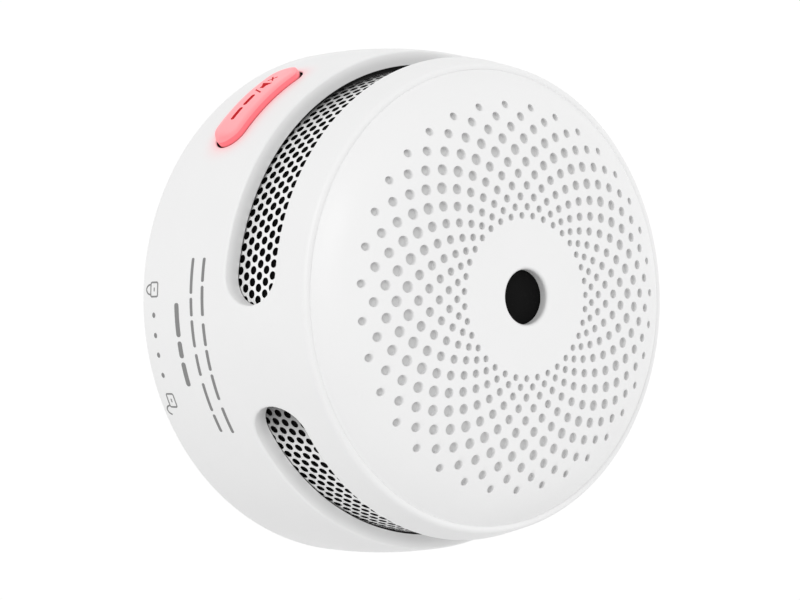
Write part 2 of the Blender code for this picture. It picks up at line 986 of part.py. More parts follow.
def sounder(parent):
    """Piezo disc clamped between a black resonator cup, open to the sound hole, and its base."""
    lid = HORN_TOP - 1.3
    inner = HORN_RADIUS - 1.3
    housing = [
        (inner, lid),
        (inner, HORN_LOW),
        (HORN_RADIUS, HORN_LOW),
        (HORN_RADIUS, HORN_TOP - 0.6),
        (HORN_RADIUS - 0.6, HORN_TOP),
        (HORN_MOUTH, HORN_TOP),
        (HORN_MOUTH, lid),
    ]
    turned("horn_housing", housing, black_plastic(), parent, steps=MEDIUM_STEPS)
    foam_low = HORN_TOP + GAP
    foam_high = foam_low + 0.5
    gasket = [(8, foam_low), (14, foam_low), (14, foam_high), (8, foam_high)]
    turned("horn_gasket", gasket, dark_foam(), parent, steps=MEDIUM_STEPS)
    base_high = HORN_LOW - GAP
    well = 12.2
    well_floor = HORN_BASE_LOW + 1.2
    base = [
        (0, HORN_BASE_LOW),
        (HORN_RADIUS, HORN_BASE_LOW),
        (HORN_RADIUS, base_high),
        (well, base_high),
        (well, well_floor),
        (0, well_floor),
    ]
    turned("horn_base", base, black_plastic(), parent, steps=MEDIUM_STEPS)
    sheet = 0.25
    for name, radius, low, look in (
        ("piezo_plate", 13.8, HORN_LOW, brass()),
        ("piezo_ceramic", 9.5, HORN_LOW + sheet + GAP, ceramic()),
    ):
        disc = [(0, low), (radius, low), (radius, low + sheet), (0, low + sheet)]
        turned(name, disc, look, parent, steps=MEDIUM_STEPS)
    leads = (("horn_lead_red", red_wire()), ("horn_lead_black", black_wire()))
    exit_height = HORN_BASE_LOW + 1.0
    for (name, look), angle in zip(leads, LEAD_ANGLES):
        route = [
            polar(HORN_RADIUS + 0.7, angle, exit_height),
            polar(22.0, angle, exit_height - 0.1),
            polar(28.5, angle, exit_height - 0.8),
            polar(LEAD_RADIUS, angle, 32.5),
            polar(LEAD_RADIUS, angle, 27.0),
            polar(LEAD_RADIUS, angle, BOARD_LOW + BOARD_THICK + GAP),
        ]
        wire(name, route, look, parent)


def main():
    clear_scene()
    wall_frame = empty("wall_frame")
    wall_frame.rotation_euler = (math.pi / 2, 0, 0)
    head = empty("head", wall_frame)
    button_frame = empty("button_slide", head)
    plunger_frame = empty("plunger_slide", head)
    knob_frame = empty("knob_slide", head)
    mounting_bracket(wall_frame)
    rear_cover(head)
    outer_shell(head)
    front_cover(head)
    inlet_grille(head)
    test_button(button_frame)
    test_switch(head, plunger_frame)
    case_screws(head)
    chassis_deck(head)
    circuit_board(head)
    board_parts(head)
    battery_and_leads(head)
    power_switch(head, knob_frame)
    smoke_chamber(head)
    sounder(head)


main()
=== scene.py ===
"""Looks for a round smoke alarm on its twist-lock bracket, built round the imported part.

Shapes are worked out lying on their back, in millimetres: angles in degrees round the drum's axis, and
heights above the wall plane. world() then stands a point up, so that the face looks along -Y.
"""

import json
import math

import bmesh
import bpy
from mathutils import Matrix, Vector, geometry

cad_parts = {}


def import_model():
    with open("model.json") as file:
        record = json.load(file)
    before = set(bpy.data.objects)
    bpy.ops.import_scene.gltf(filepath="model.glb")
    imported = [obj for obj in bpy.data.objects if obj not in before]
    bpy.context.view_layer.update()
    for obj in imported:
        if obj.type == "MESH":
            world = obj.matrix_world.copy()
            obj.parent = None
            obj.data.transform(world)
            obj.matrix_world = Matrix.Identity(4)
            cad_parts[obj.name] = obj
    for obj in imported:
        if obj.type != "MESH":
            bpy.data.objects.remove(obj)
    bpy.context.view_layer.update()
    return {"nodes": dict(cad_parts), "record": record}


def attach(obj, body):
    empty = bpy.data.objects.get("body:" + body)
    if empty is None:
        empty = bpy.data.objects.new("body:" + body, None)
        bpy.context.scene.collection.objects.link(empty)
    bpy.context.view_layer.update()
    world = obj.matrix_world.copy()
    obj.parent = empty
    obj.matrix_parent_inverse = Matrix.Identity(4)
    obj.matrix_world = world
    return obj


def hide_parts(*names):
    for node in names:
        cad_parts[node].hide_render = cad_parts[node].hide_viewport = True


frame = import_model()

MM = 0.001
COLUMNS = 288  # round every turned surface
SMOOTH_BELOW = 40  # degrees between two faces that shade as one surface
SEAM = 72.5  # angle at which a wall is cut open to lay it flat
FLAT_RADIUS = 47  # of the drum where a wall is laid flat
MARGIN = 0.45  # how far a sheet's own points keep clear of its openings

# The drum's outside: radius at the wall, and how it narrows with height
BACK_RADIUS = 51.0
WALL_TAPER = 0.0362
WALL_CURVE = 0.00379
BACK_LIFT = 0.3
SHELL_WALL = 1.8
WALL_HEIGHTS = (2.0, 39.0)
BACK_ROUNDING = ((0.03, 0.8), (0.09, 0.55), (0.24, 0.38), (0.5, BACK_LIFT))
RIM_ROUNDING = (
    (42.98, 41.52),
    (42.84, 41.8),
    (42.62, 42.03),
    (42.34, 42.18),
    (42.08, 42.16),
    (41.86, 42.11),
    (41.71, 42.06),
    (41.615, 42.0),
)

# The domed face: each power of the radius, and how far it lowers the face's edge
FACE_TOP = 49.35
FACE_RADIUS = 41.6
FACE_DROP = ((2, -0.8621), (4, 6.1186), (12, 2.2035))
FACE_EDGE = 41.605
COVER_THICK = 2.2
FACE_COLUMNS = 210
SOUND_HOLE_RADIUS = 4.95
SOUND_HOLE_EDGE = 0.65
SOUND_HOLE_FLARE = 0.3
CLOTH_DEPTH = 2.05
CLOTH_THICK = 0.15
LEDGE_TOP = 39.5
LEDGE_THICK = 1.4
LEDGE_INNER = 39.9

# Rings of dimples: radius of the ring, diameter of its dimples
DIMPLES_IN_RING = 35
DIMPLE_FIRST = 1.53
DIMPLE_DEPTH = 0.9
DIMPLE_CHAMFER = 0.07
DIMPLE_SIDES = 20
DIMPLED = (12.9, 36.2)  # radii between which the face is dimpled
DIMPLE_RINGS = (
    (14.59, 1.2),
    (16.17, 1.3),
    (17.98, 1.42),
    (19.99, 1.54),
    (22.12, 1.66),
    (24.28, 1.78),
    (26.42, 2.0),
    (28.52, 1.9),
    (30.55, 1.78),
    (32.58, 1.64),
    (34.66, 1.4),
)

# Smoke inlets and the perforated band
INLETS = 3
INLET_ARC = 97.8
INLET_FIRST = 83.7
INLET_LOW = 24.45
INLET_HIGH = 35.75
INLET_EDGE = 0.45
SEAT_RADIUS = 45.0
SEAT_HEIGHTS = (23.9, 36.4)
BAND_RADIUS = 44.39
BAND_TAPER = 0.1
BAND_THICK = 0.12
BAND_LOW = 22.6
BAND_HIGH = 36.9
BAND_SHIFT = (-0.54, -0.22)
# The black sheet of painted shade inside the band: its heights, and its depths behind the band
LINING_HEIGHTS = (24.0, 36.2)
LINING_DEPTHS = (0.6, 0.9)

# Each inlet's hole pattern: angle it is centred on, one hole's angle and height, the steps to its two
# neighbours, how far the rows sag ten degrees from the centre, and half a hole's width and height
HOLE_PATTERNS = (
    (150, (151.673, 28.387), (2.128, 0.102), (1.054, 1.857), (-0.04, -0.128), (0.76, 0.79)),
    (232, (227.844, 30.458), (1.866, 0.569), (-1.616, 1.847), (-0.036, -0.18), (0.76, 0.88)),
    (390, (391.673, 28.387), (2.128, 0.102), (1.054, 1.857), (-0.04, -0.128), (0.76, 0.79)),
)

# Print on the wall: how deep it starts and how far it stands off, the width of a drawn line, the angles
# of the dots and of each padlock with its shackle's shift, and the bars that stand for words. A row of
# bars has its height, half the bars' width, and each bar's two angles.
PRINT = (-0.05, 0.03)
STROKE = 0.31
DOT_ANGLES = (195.6, 191.3, 187.2, 183.0)
PADLOCKS = ((177.7, 0.0), (201.15, -1.95))
BAR_ROWS = (
    (11.65, 0.62, ((198.0, 192.9), (192.0, 188.5), (187.6, 180.6))),
    (
        15.9,
        0.36,
        ((208.5, 204.4), (203.6, 197.4), (195.8, 191.2), (189.8, 184.2), (183.4, 179.6), (178.8, 171.4)),
    ),
    (
        18.95,
        0.36,
        ((208.9, 202.9), (201.2, 195.6), (194.8, 190.4), (189.6, 184.9), (183.4, 177.2), (176.4, 171.4)),
    ),
)

# The front view's camera, in metres
CAMERA_PLACE = (-0.17083, -0.23624, -0.00330)
AHEAD = (0.60557, 0.79570, 0.01175)
UPWARDS = (0, -0.01477, 0.99989)
FOCAL_LENGTH = 63.51

# The room's light, where 1 is white: level with the alarm, and how it changes in each direction. The
# backdrop fades in between two angles from the front view's middle.
LEVEL_LIGHT = 0.836
LIGHT_CHANGES = (
    ((0, 0, 1), -0.22),
    ((0, 0, -1), -0.38),
    ((-1, 0, 0), 0.02),
    ((1, 0, 0), 0.33),
    ((0, -1, 0), 0.08),
    ((0, 1, 0), 0.25),
)
BACKDROP = (21, 38)
BACKDROP_LIGHT = 1.02
LAMP_PLACE = (-1.4, -1.2, 0.76)  # metres
LAMP_SIZE = 0.9
LAMP_WATTS = 8.0
FLOOR_RADIUS = 0.28
FLOOR_HEIGHT = -0.22

# Painted shade and glow: black in a dimple's floor and deep in a recess, the red glow's reach, black on the
# unlit
DIMPLE_PAINTED_SHADE = 0.26
RECESS_PAINTED_SHADE = 0.14
HALO_REACH = 5.2
BLACK = (0.004, 0.004, 0.004)

# The test button. Its ends run along its travel, and stand clear of the opening by END_GAP at one shoulder.
BUTTON_ANGLE = 133.1
TRAVEL_ANGLE = 132.8
BUTTON_ARC = 26.4
BUTTON_LOW = 9.45
BUTTON_HIGH = 17.1
BUTTON_PROUD = 1.25
BUTTON_RIM = 1.0
BUTTON_GAP = 0.05
BUTTON_EDGE = 0.22
END_GAP = 0.8
SHOULDER = (0.6, -0.8)  # along the wall and up it, at the right-hand end
SHOULDER_POWER = 4
BUTTON_MIDDLE = (BUTTON_LOW + BUTTON_HIGH) / 2


def wall_radius(height):
    return BACK_RADIUS - WALL_TAPER * height - WALL_CURVE * height**2


def seat_radius(height):
    return SEAT_RADIUS - BAND_TAPER * (height - INLET_LOW)


def on_band(degrees, height, sunk=0.0):
    """Point of the perforated band, which rests against one side of its seat."""
    radius = BAND_RADIUS - BAND_TAPER * (height - INLET_LOW)
    return polar(radius - sunk, degrees, height) + Vector((*BAND_SHIFT, 0))


def face_height(radius):
    share = radius / FACE_RADIUS
    return FACE_TOP - sum(weight * share**power for power, weight in FACE_DROP)


def around(first, count):
    return [first + 360 * i / count for i in range(count)]


def polar(radius, degrees, height=0.0):
    turn = math.radians(degrees)
    return Vector((radius * math.cos(turn), radius * math.sin(turn), height))


def world(point):
    return Vector((point[0], -point[2], point[1])) * MM


class Skin:
    """Faces of one closed piece, collected patch by patch and welded where the patches meet."""

    def __init__(self):
        self.points = []
        self.faces = []

    def loop(self, points):
        start = len(self.points)
        self.points.extend(points)
        return list(range(start, len(self.points)))

    def band(self, first, second):
        for i in range(len(first)):
            j = (i + 1) % len(first)
            self.faces.append((first[i], first[j], second[j], second[i]))

    def bands(self, loops):
        made = [self.loop(points) for points in loops]
        for first, second in zip(made, made[1:]):
            self.band(first, second)
        return made

    def fan(self, rim, centre):
        middle = self.loop([centre])[0]
        for i in range(len(rim)):
            self.faces.append((rim[i], rim[(i + 1) % len(rim)], middle))

    def sheet(self, spots, outlines, place):
        """Triangles over flat spots, inside the first outline and outside the others."""
        flat = [Vector(spot) for spot in spots]
        areas = []
        for outline in outlines:
            areas.append(list(range(len(flat), len(flat) + len(outline))))
            flat.extend(Vector(spot) for spot in outline)
        made = geometry.delaunay_2d_cdt(flat, [], areas, 0, 1e-5)
        index = self.loop([place(*spot) for spot in made[0]])
        for face, inside in zip(made[2], made[5]):
            if list(inside) == [0]:
                self.faces.append(tuple(index[i] for i in face))

    def piece(self, name, material, body, weld=2e-3):
        mesh = bpy.data.meshes.new(name)
        mesh.from_pydata([world(point) for point in self.points], [], self.faces)
        mesh.validate()
        data = bmesh.new()
        data.from_mesh(mesh)
        bmesh.ops.remove_doubles(data, verts=data.verts, dist=weld * MM)
        loose = [point for point in data.verts if not point.link_faces]
        bmesh.ops.delete(data, geom=loose, context="VERTS")
        bmesh.ops.recalc_face_normals(data, faces=data.faces)
        data.to_mesh(mesh)
        data.free()
        return finished(name, mesh, material, body)


def finished(name, mesh, material, body):
    mesh.shade_smooth()
    mesh.set_sharp_from_angle(angle=math.radians(SMOOTH_BELOW))
    mesh.materials.append(material)
    made = bpy.data.objects.new(name, mesh)
    bpy.context.scene.collection.objects.link(made)
    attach(made, body)
    return made


def ring(radius, height, columns=COLUMNS):
    return [polar(radius, angle, height) for angle in around(0, columns)]


def stadium(span, low, high, grow, radius):
    """Closed outline of (angle, height) spots, pushed outwards by grow millimetres."""
    straight_step = 1.1
    cap_steps = 20
    middle = (low + high) / 2
    half = (high - low) / 2
    per_mm = math.degrees(1 / radius)
    first = span[0] + half * per_mm
    last = span[1] - half * per_mm
    count = max(2, round((last - first) / per_mm / straight_step))
    reach = half + grow
    straight = [first + (last - first) * i / count for i in range(1, count)]
    spots = [(angle, middle - reach) for angle in straight]
    for i in range(cap_steps + 1):
        turn = math.pi * (i / cap_steps - 0.5)
        rise = math.sin(turn) * reach
        spots.append((last + math.cos(turn) * reach * per_mm, middle + rise))
    spots += [(angle, middle + reach) for angle in reversed(straight)]
    for i in range(cap_steps + 1):
        turn = math.pi * (i / cap_steps + 0.5)
        rise = math.sin(turn) * reach
        spots.append((first + math.cos(turn) * reach * per_mm, middle + rise))
    return spots


def in_stadium(opening, grow, angle, height):
    """Whether a spot lies in an opening that is pushed outwards by grow millimetres."""
    span, low, high, _, radius = opening
    half = (high - low) / 2
    per_mm = math.degrees(1 / radius)
    first = span[0] + half * per_mm
    last = span[1] - half * per_mm
    along = max(first - angle, 0, angle - last) / per_mm
    return math.hypot(along, height - (low + high) / 2) < half + grow


def unrolled(heights):
    """The columns' angles, and the outline of a wall that is cut open at the seam and laid flat."""
    angles = [SEAM + 360 * i / COLUMNS for i in range(COLUMNS + 1)]
    rim = [(angle, heights[0]) for angle in angles]
    rim += [(angles[-1], height) for height in heights[1:-1]]
    rim += [(angle, heights[-1]) for angle in reversed(angles)]
    rim += [(angles[0], height) for height in reversed(heights[1:-1])]
    return angles, rim


def wall_patch(skin, radius_at, heights, openings):
    """Part of a turned wall with openings in it, as one sheet with its seam closed."""
    scale = math.radians(1) * FLAT_RADIUS
    angles, rim = unrolled(heights)
    spots = []
    for height in heights[1:-1]:
        for angle in angles[1:-1]:
            if not any(in_stadium(opening, opening[3] + MARGIN, angle, height) for opening in openings):
                spots.append((angle * scale, height))
    outlines = [rim, *(stadium(*opening) for opening in openings)]
    flat = [[(angle * scale, height) for angle, height in outline] for outline in outlines]
    skin.sheet(spots, flat, lambda u, v: polar(radius_at(v), u / scale, v))


def steps_between(low, high, step):
    count = max(1, round((high - low) / step))
    return [low + (high - low) * i / count for i in range(count + 1)]


def inlet_openings():
    """Each opening is its span of angles, its lowest and highest height, its growth and its radius."""
    middle = (INLET_LOW + INLET_HIGH) / 2
    return [
        ((start, start + INLET_ARC), INLET_LOW, INLET_HIGH, 0.0, wall_radius(middle))
        for start in around(INLET_FIRST, INLETS)
    ]


def button_opening(lift=0.0):
    """The button's opening, lift millimetres above the wall's surface."""
    radius = wall_radius(BUTTON_MIDDLE)
    share = radius / (radius + lift)
    ends = [BUTTON_ANGLE + side * BUTTON_ARC / 2 for side in (-1, 1)]
    span = tuple(TRAVEL_ANGLE + (end - TRAVEL_ANGLE) * share for end in ends)
    return (span, BUTTON_LOW, BUTTON_HIGH, 0.0, radius + lift)


def grown(opening, grow):
    return (*opening[:3], grow, opening[4])


def opening_walls(skin, opening, edge, inner_radius_at, inner_opening):
    """The rounded outer edge of an opening and its side wall, down to the inner surface."""
    loops = []
    for i in range(6):
        turn = math.pi / 2 * i / 5
        sunk = edge * (1 - math.cos(turn))
        spots = stadium(*grown(opening, edge * (1 - math.sin(turn))))
        loops.append([polar(wall_radius(z) - sunk, angle, z) for angle, z in spots])
    loops.append([polar(inner_radius_at(z), angle, z) for angle, z in stadium(*inner_opening)])
    skin.bands(loops)


def inner_radius(height):
    return wall_radius(height) - SHELL_WALL


def outer_shell():
    """The drum's wall, with its inlets, the button's opening and the ledge that carries the face."""
    skin = Skin()
    low, high = WALL_HEIGHTS
    seat_low, seat_high = SEAT_HEIGHTS
    inlets = inlet_openings()
    button, deep = button_opening(), button_opening(-SHELL_WALL)
    rims = [*(grown(inlet, INLET_EDGE) for inlet in inlets), grown(button, BUTTON_EDGE)]
    wall_patch(skin, wall_radius, steps_between(low, high, 1.2), rims)
    wall_patch(skin, inner_radius, steps_between(low, seat_low, 2.5), [deep])
    wall_patch(skin, seat_radius, steps_between(seat_low, seat_high, 2.5), inlets)
    for inlet in inlets:
        opening_walls(skin, inlet, INLET_EDGE, seat_radius, inlet)
    opening_walls(skin, button, BUTTON_EDGE, inner_radius, deep)
    back = [(wall_radius(z), z) for z in (low, 1.3)]
    back += [(BACK_RADIUS - inwards, z) for inwards, z in BACK_ROUNDING]
    back += [(inner_radius(z), z) for z in (BACK_LIFT, low)]
    under = LEDGE_TOP - LEDGE_THICK
    rim = [(wall_radius(z), z) for z in (high, 39.8, 40.6, 41.2)]
    rim += [*RIM_ROUNDING, (RIM_ROUNDING[-1][0], LEDGE_TOP)]
    rim += [(LEDGE_INNER, LEDGE_TOP), (LEDGE_INNER, under), (42.7, under), (43.0, seat_high)]
    rim += [(seat_radius(seat_high), seat_high)]
    step = [(seat_radius(seat_low), seat_low), (inner_radius(seat_low), seat_low)]
    for profile in (back, rim, step):
        skin.bands([ring(radius, z) for radius, z in profile])
    shell = skin.piece("drum_shell", white_plastic(), "head")
    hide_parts("outer_shell")


def on_face(spot, sunk=0.0):
    """The point of the face above a flat spot, so far below its surface."""
    return Vector((*spot.xy, face_height(spot.xy.length) - sunk))


def turned_face(skin):
    """The face's turned stretches: round the sound hole, then outside the dimples and along its inside."""
    edge, flare = SOUND_HOLE_EDGE, SOUND_HOLE_FLARE
    hole = SOUND_HOLE_RADIUS
    first, last = DIMPLED
    bottom = face_height(hole) - COVER_THICK
    middle = [(hole + flare, bottom), (hole, bottom + flare), (hole, face_height(hole) - edge)]
    for i in range(1, 9):
        turn = math.pi / 2 * i / 8
        radius = hole + edge * (1 - math.cos(turn))
        middle.append((radius, face_height(radius) - edge * (1 - math.sin(turn))))
    middle += [(radius, face_height(radius)) for radius in (6.3, 7.6, 9, 10.3, 11.6, first)]
    outward = (last, 37, 37.8, 38.5, 39.2, 39.8, 40.3, 40.7, 41, 41.25, 41.42)
    outside = [(radius, face_height(radius)) for radius in outward]
    outside += [(radius, face_height(radius) + lip) for radius, lip in ((41.54, 0.07), (FACE_EDGE, 0.11))]
    foot = LEDGE_TOP + 0.05
    outside += [(FACE_EDGE, foot), (LEDGE_INNER + 0.1, foot)]
    inward = (38.6, 37.4, 35.5, 33.5, 31, 29, 26, 22, 17, 12)
    outside += [(radius, face_height(radius) - COVER_THICK) for radius in inward]
    for profile in (middle, [*outside, middle[0]]):
        skin.bands([ring(radius, z, FACE_COLUMNS) for radius, z in profile])


def dimple(skin, centre, radius):
    """One dimple with a small chamfer and a rounded foot. Returns its outline on the face."""

    def circle(reach):
        return [centre + polar(radius + reach, angle) for angle in around(0, DIMPLE_SIDES)]

    rim = circle(DIMPLE_CHAMFER)
    loops = [[on_face(spot) for spot in rim]]
    for reach, sunk in ((0, DIMPLE_CHAMFER), (-0.03, DIMPLE_DEPTH - 0.08), (-0.11, DIMPLE_DEPTH)):
        loops.append([on_face(spot, sunk) for spot in circle(reach)])
    skin.fan(skin.bands(loops)[-1], on_face(centre, DIMPLE_DEPTH))
    return [spot.xy for spot in rim]


def front_cover():
    """The domed face with its sound hole and its rings of dimples."""
    skin = Skin()
    turned_face(skin)
    first, last = DIMPLED
    dimples = []
    for row, (radius, across) in enumerate(DIMPLE_RINGS):
        start = DIMPLE_FIRST + 180 / DIMPLES_IN_RING * (row % 2)
        dimples += [(polar(radius, angle), across / 2) for angle in around(start, DIMPLES_IN_RING)]
    outlines = [[spot.xy for spot in ring(radius, 0, FACE_COLUMNS)] for radius in (last, first)]
    outlines += [dimple(skin, centre, radius) for centre, radius in dimples]
    spots = []
    for radius in steps_between(first, last, 0.9)[1:-1]:
        for angle in around(0, round(math.tau * radius / 0.95)):
            spot = polar(radius, angle)
            if all((spot - centre).length > reach + 0.36 for centre, reach in dimples):
                spots.append(spot.xy)
    skin.sheet(spots, outlines, lambda x, y: on_face(Vector((x, y))))
    cover = skin.piece("dimpled_face", white_plastic(), "head")
    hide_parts("front_cover")


def sound_cloth():
    """Disc of black cloth across the sound hole, a guessed part that also stands in for the shade deep in
    the hole.
    """
    skin = Skin()
    top = face_height(SOUND_HOLE_RADIUS) - CLOTH_DEPTH
    heights = (top, top - CLOTH_THICK)
    loops = skin.bands([ring(SOUND_HOLE_RADIUS + 0.1, z, 96) for z in heights])
    for loop, height in zip(loops, heights):
        skin.fan(loop, polar(0, 0, height))
    skin.piece("sound_cloth", black_cloth_and_shade(), "head")


def holes_of(inlet, pattern):
    """Outlines of the holes that show through one inlet, as (angle, height) spots."""
    centre, (angle, height), across, along, sag, (half_wide, half_high) = pattern
    per_mm = math.degrees(1 / BAND_RADIUS)
    edge_clear = 1.1
    most_across, most_along = 50, 12
    holes = []
    for i in range(-most_across, most_across + 1):
        for j in range(-most_along, most_along + 1):
            start = angle + (i * across[0] + j * along[0]) * per_mm
            bend = ((start - centre) / 10) ** 2
            middle = start + bend * sag[0] * per_mm
            rise = height + i * across[1] + j * along[1] + bend * sag[1]
            on_sheet = BAND_LOW + edge_clear < rise < BAND_HIGH - edge_clear
            if on_sheet and in_stadium(inlet, 1.0, middle, rise):
                round_it = arc(0, 0, half_wide * per_mm, half_high, 0, 360, 20)[:-1]
                holes.append([(middle + aside, rise + up) for aside, up in round_it])
    return holes


def inlet_grille():
    """Band of sheet metal with staggered round holes behind each inlet."""
    skin = Skin()
    scale = math.radians(1) * BAND_RADIUS
    angles, rim = unrolled(steps_between(BAND_LOW, BAND_HIGH, 1.5))
    holes = []
    for inlet, pattern in zip(inlet_openings(), HOLE_PATTERNS):
        holes += holes_of(inlet, pattern)
    outlines = [[(angle * scale, z) for angle, z in outline] for outline in [rim, *holes]]
    for sunk in (0.0, BAND_THICK):
        skin.sheet([], outlines, lambda u, v: on_band(u / scale, v, sunk))
    margins = [[(angle, height) for angle in angles[:-1]] for height in (BAND_LOW, BAND_HIGH)]
    for spots in [*holes, *margins]:
        skin.bands([[on_band(*spot, sunk) for spot in spots] for sunk in (0.0, BAND_THICK)])
    band = skin.piece("perforated_band", bright_steel(), "head")
    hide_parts("inlet_grille")


def inlet_painted_shade():
    """A black sheet inside the band, painted shade so that its holes look black from every side."""
    skin = Skin()
    low, high = LINING_HEIGHTS
    outer, inner = LINING_DEPTHS
    corners = ((low, outer), (high, outer), (high, inner), (low, inner), (low, outer))
    skin.bands([[on_band(angle, z, sunk) for angle in around(0, COLUMNS)] for z, sunk in corners])
    skin.piece("inlet_painted_shade", black_cloth_and_shade(), "head")


def slimmed(spot, opening):
    """The spot drawn in where the button stands clear of its opening: at one shoulder of each end."""
    span, low, high, _, radius = opening
    per_mm = math.degrees(1 / radius)
    half = (high - low) / 2
    angle, height = spot
    along = max(angle - span[1] + half * per_mm, 0) + min(angle - span[0] - half * per_mm, 0)
    if not along:
        return spot
    along /= per_mm
    up = height - (low + high) / 2
    reach = math.hypot(along, up)
    lean = (SHOULDER[0] * along + SHOULDER[1] * up) / reach * math.copysign(1, along)
    gap = END_GAP * max(lean, 0) ** SHOULDER_POWER * abs(along) / reach
    return (angle - along / reach * gap * per_mm, height - up / reach * gap)


def button_profile():
    """From the flange behind the wall to the crown's middle: how far out and how high each loop lies."""
    side = -BUTTON_GAP
    flange, flange_low, flange_high = 0.45, -3.0, -2.1
    edge = 0.12
    profile = [(flange, flange_low), (flange, flange_high), (side, flange_high), (side, -1.0), (side, 0.0)]
    for i in range(5):
        turn = math.pi / 2 * i / 4
        profile.append((side - edge * (1 - math.cos(turn)), BUTTON_RIM - edge * (1 - math.sin(turn))))
    crown = ((0.3, 0.16), (0.5, 0.36), (0.75, 0.6), (1.0, 0.84), (1.2, 0.96), (1.4, 1.0), (1.8, 1.0))
    for inwards, share in crown:
        profile.append((side - inwards, BUTTON_RIM + (BUTTON_PROUD - BUTTON_RIM) * share))
    return profile


def test_button():
    """The lit button, with a low crown and a flange that keeps it in the wall."""
    skin = Skin()
    profile = button_profile()

    def outline(grow, lift):
        opening = button_opening(lift)
        return [slimmed(spot, opening) for spot in stadium(*grown(opening, grow))]

    loops = []
    for grow, lift in profile:
        loops.append([polar(wall_radius(z) + lift, angle, z) for angle, z in outline(grow, lift)])
    skin.bands(loops)
    for grow, lift in (profile[0], profile[-1]):
        opening = button_opening(lift)
        span, low, high, _, radius = opening
        scale = math.radians(1) * radius
        spots = []
        for angle in steps_between(*span, 1.2):
            for height in steps_between(low, high, 1.2):
                if in_stadium(opening, grow - 1.1, angle, height):
                    spots.append((angle * scale, height))
        rim = [(angle * scale, z) for angle, z in outline(grow, lift)]
        skin.sheet(spots, [rim], lambda u, v: polar(wall_radius(v) + lift, u / scale, v))
    button = skin.piece("test_button_cap", lit_red(), "button")
    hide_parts("test_button")


def resampled(outline, step=0.55, closed=True):
    """The outline with points added so that none are further apart than the step."""
    ends = outline[1:] + outline[:1] if closed else outline[1:]
    spots = []
    for (x0, y0), (x1, y1) in zip(outline, ends):
        count = max(1, math.ceil(math.hypot(x1 - x0, y1 - y0) / step))
        spots += [(x0 + (x1 - x0) * i / count, y0 + (y1 - y0) * i / count) for i in range(count)]
    return spots if closed else spots + [outline[-1]]


def printed_spot(anchor, x, y, lift):
    """A flat mark's spot laid on the wall. x runs the way the marks are read, towards smaller angles."""
    angle, height = anchor
    radius = wall_radius(height + y)
    return polar(radius + lift, angle - math.degrees(x / wall_radius(height)), height + y)


def plate(skin, outline, anchor, low, high):
    """A filled mark, as a thin closed plate."""
    spots = resampled(outline)
    for lift in (low, high):
        skin.sheet([], [spots], lambda x, y: printed_spot(anchor, x, y, lift))
    skin.bands([[printed_spot(anchor, x, y, lift) for x, y in spots] for lift in (low, high)])


def line(skin, path, width, anchor, low, high, closed=False):
    """A drawn line, as a thin closed ribbon with square ends."""
    spots = resampled(path, 0.4, closed)
    count = len(spots)
    left, right = [], []
    for i, (x, y) in enumerate(spots):
        before = spots[i - 1] if i or closed else spots[i]
        after = spots[(i + 1) % count] if i < count - 1 or closed else spots[i]
        along = Vector((after[0] - before[0], after[1] - before[1])).normalized()
        side = Vector((-along.y, along.x)) * width / 2
        left.append((x + side.x, y + side.y))
        right.append((x - side.x, y - side.y))
    if not closed:
        plate(skin, right + left[::-1], anchor, low, high)
        return
    corners = ((left, low), (left, high), (right, high), (right, low))
    loops = [skin.loop([printed_spot(anchor, x, y, lift) for x, y in run]) for run, lift in corners]
    for first, second in zip(loops, loops[1:] + loops[:1]):
        skin.band(first, second)


def rounded(x0, x1, y0, y1, radius):
    """Outline of a box with round corners."""
    centres = ((x1, y1, -1, -1), (x0, y1, 1, -1), (x0, y0, 1, 1), (x1, y0, -1, 1))
    spots = []
    for corner, (x, y, sign_x, sign_y) in enumerate(centres):
        for i in range(5):
            turn = math.radians(90 * corner + 90 * i / 4)
            centre_x = x + sign_x * radius
            centre_y = y + sign_y * radius
            spots.append((centre_x + radius * math.cos(turn), centre_y + radius * math.sin(turn)))
    return spots


def arc(x, y, radius_x, radius_y, start, end, steps=14):
    turns = [math.radians(start + (end - start) * i / steps) for i in range(steps + 1)]
    return [(x + radius_x * math.cos(turn), y + radius_y * math.sin(turn)) for turn in turns]


def wall_marks():
    """Printing by the back rim: two padlocks, four dots, and bars where a label's words would be."""
    skin = Skin()
    for height, half, bars in BAR_ROWS:
        for start, end in bars:
            length = math.radians(start - end) * wall_radius(height)
            plate(skin, rounded(0, length, -half, half, half * 0.8), (start, height), *PRINT)
    for angle in DOT_ANGLES:
        plate(skin, arc(0, 0, 0.5, 0.5, 0, 330, 11), (angle, 4.25), *PRINT)
    for angle, opened in PADLOCKS:
        anchor = (angle, 4.5)
        line(skin, rounded(-1.3, 1.3, -1.15, 1.15, 0.35), STROKE, anchor, *PRINT, closed=True)
        line(skin, [(-0.35, 0), (0.35, 0)], STROKE, anchor, *PRINT)
        shackle = arc(opened, -1.15, 0.92, 1.5, 0, -165 if opened else -180)
        line(skin, shackle, STROKE, anchor, *PRINT)
    skin.piece("wall_printing", grey_ink(), "head", weld=1e-4)


def button_marks():
    """Printing on the button: two bars, a slash, a loudspeaker and a cross."""
    skin = Skin()
    stroke = 0.3
    anchor = (132.4, 12.85)
    levels = (BUTTON_PROUD - 0.1, BUTTON_PROUD + 0.02)
    for start, end in ((-6.5, -3.3), (-2.65, 0.3)):
        plate(skin, rounded(start, end, -0.48, 0.48, 0.36), anchor, *levels)
    line(skin, [(0.95, 1.25), (1.85, -1.25)], stroke, anchor, *levels)
    speaker = [(2.35, -0.55), (3.0, -0.55), (4.0, -1.4), (4.0, 1.4), (3.0, 0.55), (2.35, 0.55)]
    plate(skin, speaker, anchor, *levels)
    for end in (-1, 1):
        line(skin, [(4.7, -0.75 * end), (6.1, 0.75 * end)], stroke, anchor, *levels)
    skin.piece("button_printing", red_ink(), "button", weld=1e-4)


